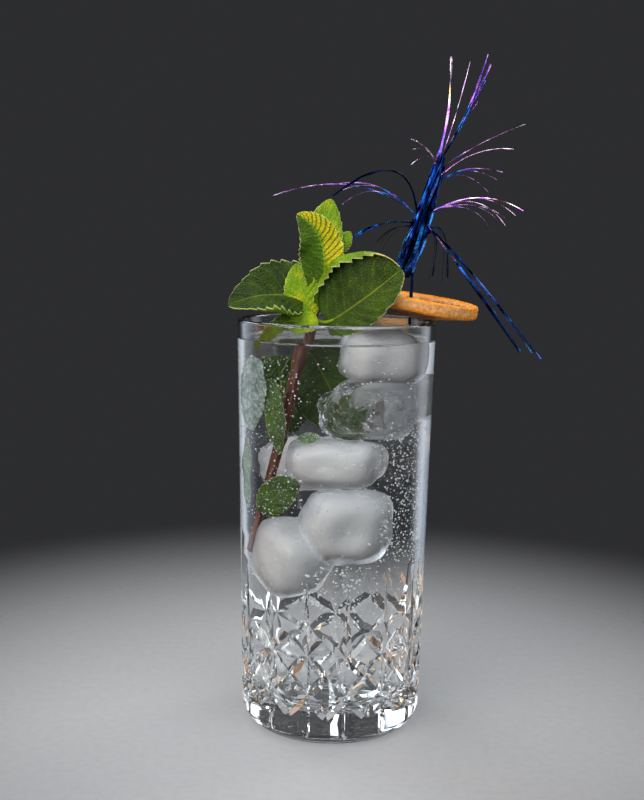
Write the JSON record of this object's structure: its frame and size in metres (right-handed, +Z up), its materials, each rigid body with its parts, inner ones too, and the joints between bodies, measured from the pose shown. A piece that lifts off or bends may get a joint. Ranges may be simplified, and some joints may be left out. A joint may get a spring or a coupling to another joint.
{
  "type": "mojito cocktail",
  "caption": "Tall cut glass of clear iced drink with a mint sprig, a dried orange slice and a foil pick",
  "frame": {"origin": "centre of the glass's foot, on the surface that it stands on", "axes": "+Z up along the glass; -Y is the front, with the mint at the left and the orange slice at the right"},
  "size_m": [0.1149, 0.0724, 0.2471],
  "materials": {
    "glass": "clear cut glass, polished",
    "drink": "clear sparkling liquid with ice",
    "mint": "fresh leaf, veined",
    "orange": "dried citrus slice",
    "stick": "dark foil-wrapped stick",
    "foil": "blue and violet metallised film"
  },
  "bodies": {
    "root": {"glass": "glass", "drink": "drink", "mint_sprig": "mint", "orange_slice": "orange", "pick_stick": "stick", "foil_fringe": "foil"}
  },
  "joints": []
}
